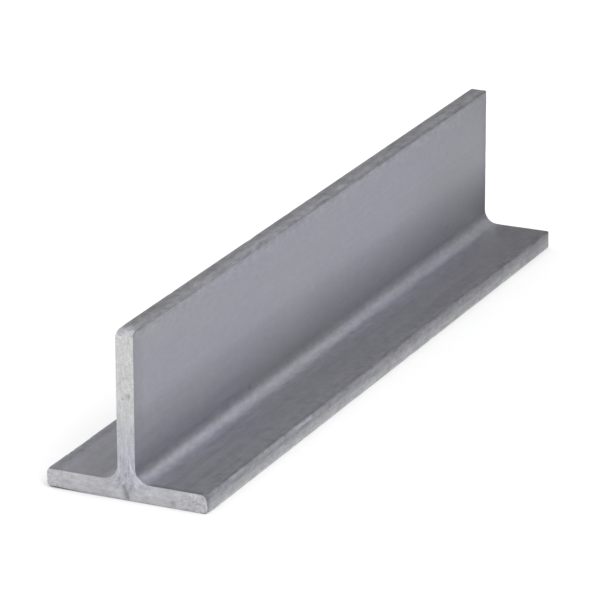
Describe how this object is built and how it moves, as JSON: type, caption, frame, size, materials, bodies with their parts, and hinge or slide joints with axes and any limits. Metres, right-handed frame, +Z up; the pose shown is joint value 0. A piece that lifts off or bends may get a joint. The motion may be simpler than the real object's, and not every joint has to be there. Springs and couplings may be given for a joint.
{
  "type": "aluminium tee bar",
  "caption": "Straight extruded tee bar with an upright stem on a flat flange, filleted at the root and sawn square at both ends, for framing, edging and shelf support.",
  "frame": {"origin": "middle of the flange's underside, at half the bar's length", "axes": "+Z up along the stem, +Y along the bar, +X across the flange"},
  "size_m": [0.0572, 0.285, 0.0571],
  "materials": {
    "mill_aluminium": "mill finish as extruded, with bright saw-cut ends"
  },
  "bodies": {
    "root": {"tee_bar": "mill_aluminium"}
  },
  "joints": []
}
